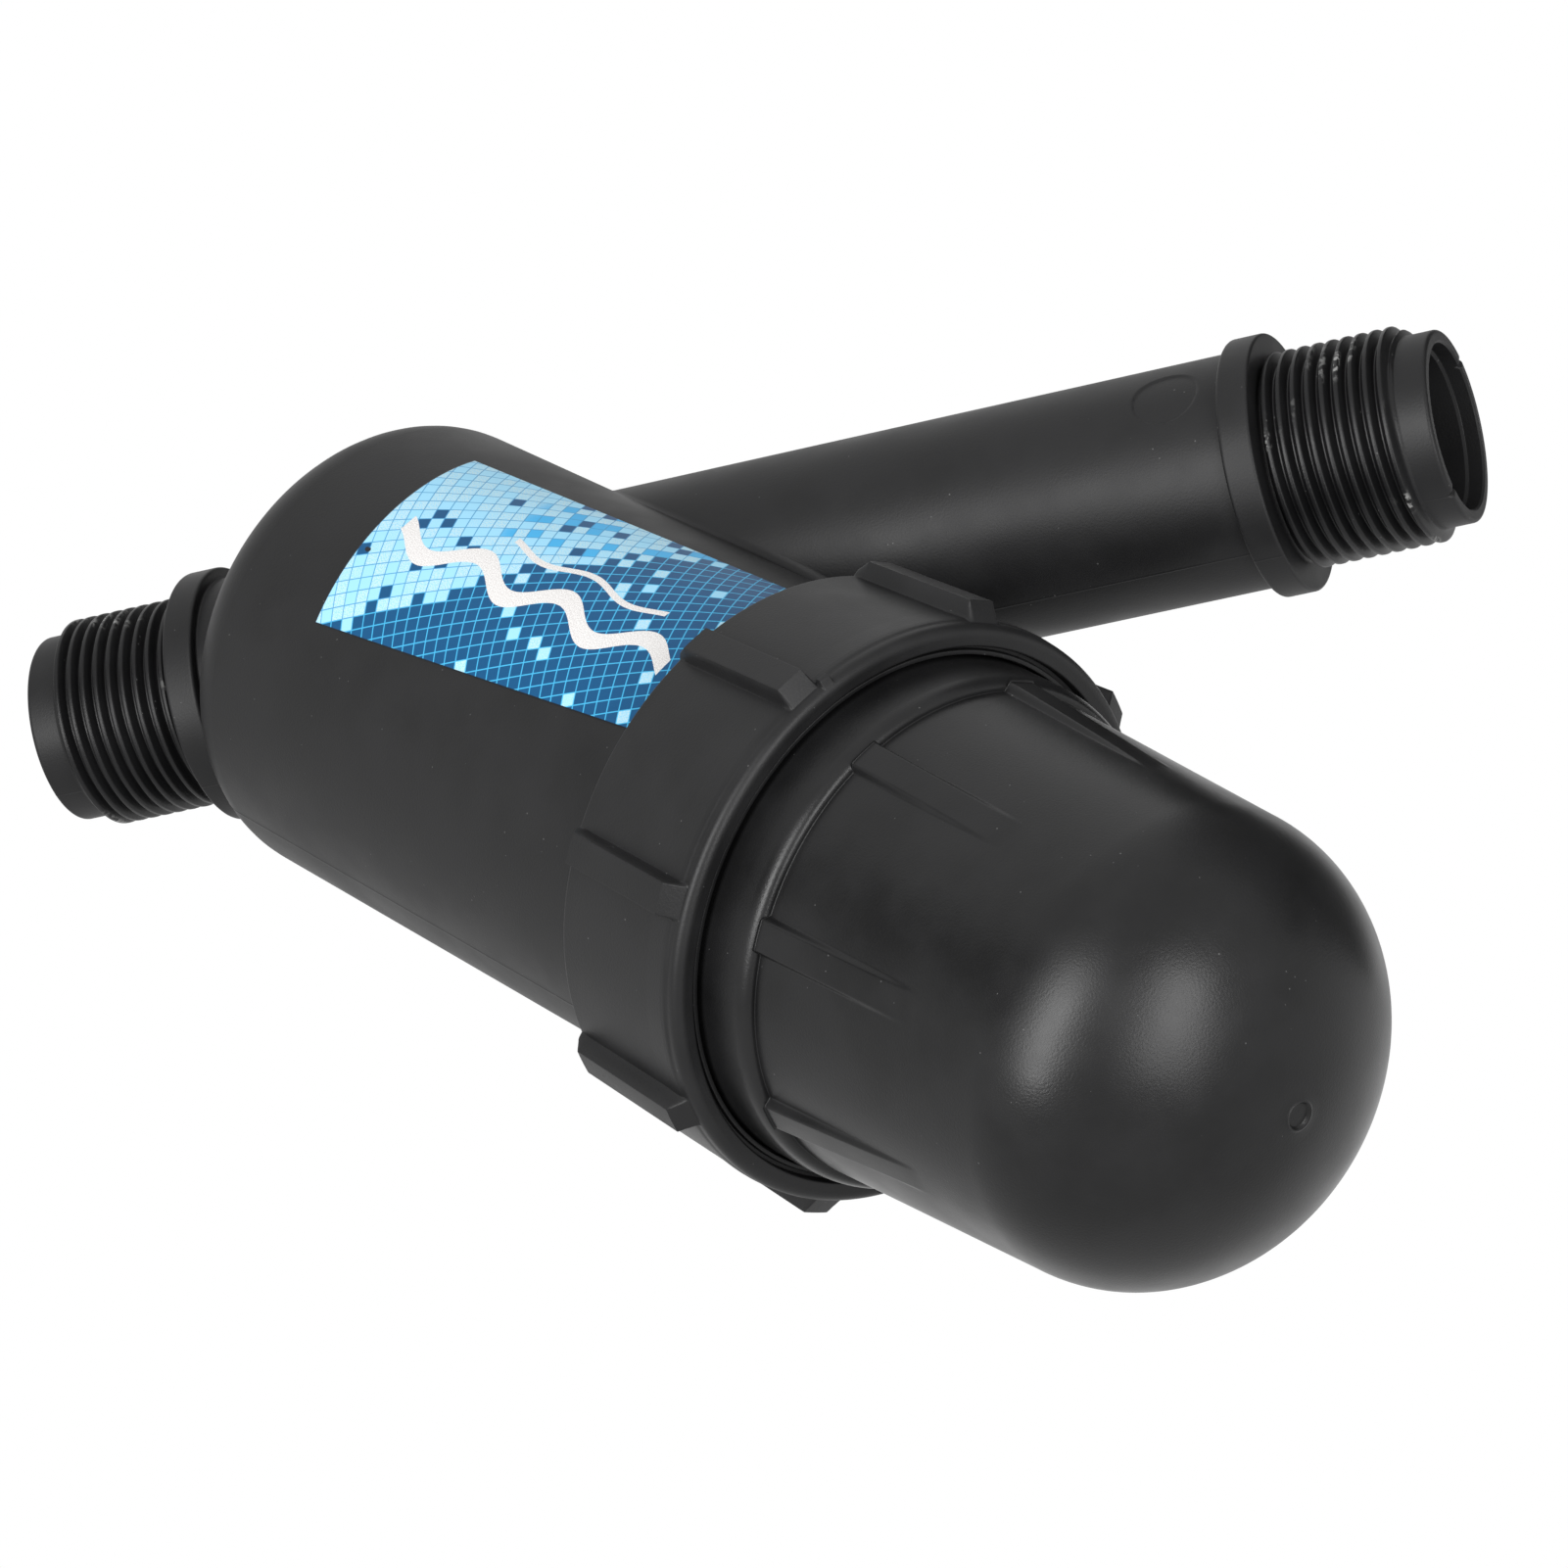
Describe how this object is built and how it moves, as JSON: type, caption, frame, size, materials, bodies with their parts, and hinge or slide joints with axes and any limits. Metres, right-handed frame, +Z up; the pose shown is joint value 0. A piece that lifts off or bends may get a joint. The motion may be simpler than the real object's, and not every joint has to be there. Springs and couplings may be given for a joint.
{
  "type": "irrigation disc filter",
  "caption": "Y-pattern irrigation disc filter: threaded run pipe, slanted barrel with a label, lugged union nut, domed bowl and a disc cartridge inside.",
  "frame": {"origin": "centre of the outlet end face, on the axis of the run pipe", "axes": "+X along the run pipe from the outlet end to the inlet end, the barrel leans down and towards +X in the XZ plane, +Z up, +Y away from the label's side"},
  "size_m": [0.1848, 0.076, 0.1413],
  "materials": {
    "black_body": "matte",
    "black_nut": "matte",
    "black_bowl": "satin",
    "label_film": "gloss",
    "black_rubber": "matte",
    "core_plastic": "matte",
    "red_disc": "satin"
  },
  "bodies": {
    "housing": {"housing": "black_body", "label": "label_film"},
    "cartridge": {"cartridge_core": "core_plastic", "cartridge_seal": "black_rubber", "filter_disc_01": "red_disc", "filter_disc_02": "red_disc", "filter_disc_03": "red_disc", "filter_disc_04": "red_disc", "filter_disc_05": "red_disc", "filter_disc_06": "red_disc", "filter_disc_07": "red_disc", "filter_disc_08": "red_disc", "filter_disc_09": "red_disc", "filter_disc_10": "red_disc", "filter_disc_11": "red_disc", "filter_disc_12": "red_disc", "filter_disc_13": "red_disc", "filter_disc_14": "red_disc", "filter_disc_15": "red_disc", "filter_disc_16": "red_disc", "filter_disc_17": "red_disc", "filter_disc_18": "red_disc", "filter_disc_19": "red_disc", "filter_disc_20": "red_disc", "filter_disc_21": "red_disc", "filter_disc_22": "red_disc", "filter_disc_23": "red_disc", "filter_disc_24": "red_disc", "filter_disc_25": "red_disc", "filter_disc_26": "red_disc", "filter_disc_27": "red_disc", "filter_disc_28": "red_disc", "filter_disc_29": "red_disc", "filter_disc_30": "red_disc", "filter_disc_31": "red_disc", "filter_disc_32": "red_disc", "filter_disc_33": "red_disc", "filter_disc_34": "red_disc", "filter_disc_35": "red_disc", "filter_disc_36": "red_disc"},
    "clamp_cap": {"clamp_cap": "core_plastic"},
    "bowl": {"bowl": "black_bowl", "bowl_seal": "black_rubber"},
    "union_nut": {"union_nut": "black_nut"}
  },
  "joints": [
    {"name": "nut_travel", "type": "slide", "parent": "housing", "child": "cartridge", "axis": [0.762, 0, -0.6476], "range_m": [0, 0.012]},
    {"name": "cap_turn", "type": "hinge", "parent": "cartridge", "child": "clamp_cap", "pos_m": [0.0469, 0, 0], "axis": [0.762, 0, -0.6476], "range_deg": [0, 720]},
    {"name": "bowl_pull_off", "type": "slide", "parent": "cartridge", "child": "bowl", "axis": [0.762, 0, -0.6476], "range_m": [0, 0.08]},
    {"name": "nut_turn", "type": "hinge", "parent": "bowl", "child": "union_nut", "pos_m": [0.0469, 0, 0], "axis": [0.762, 0, -0.6476], "range_deg": [0, 1080]}
  ],
  "couplings": [
    {"joint": "nut_travel", "follows": "nut_turn", "m_per_rad": 0.00063662}
  ]
}
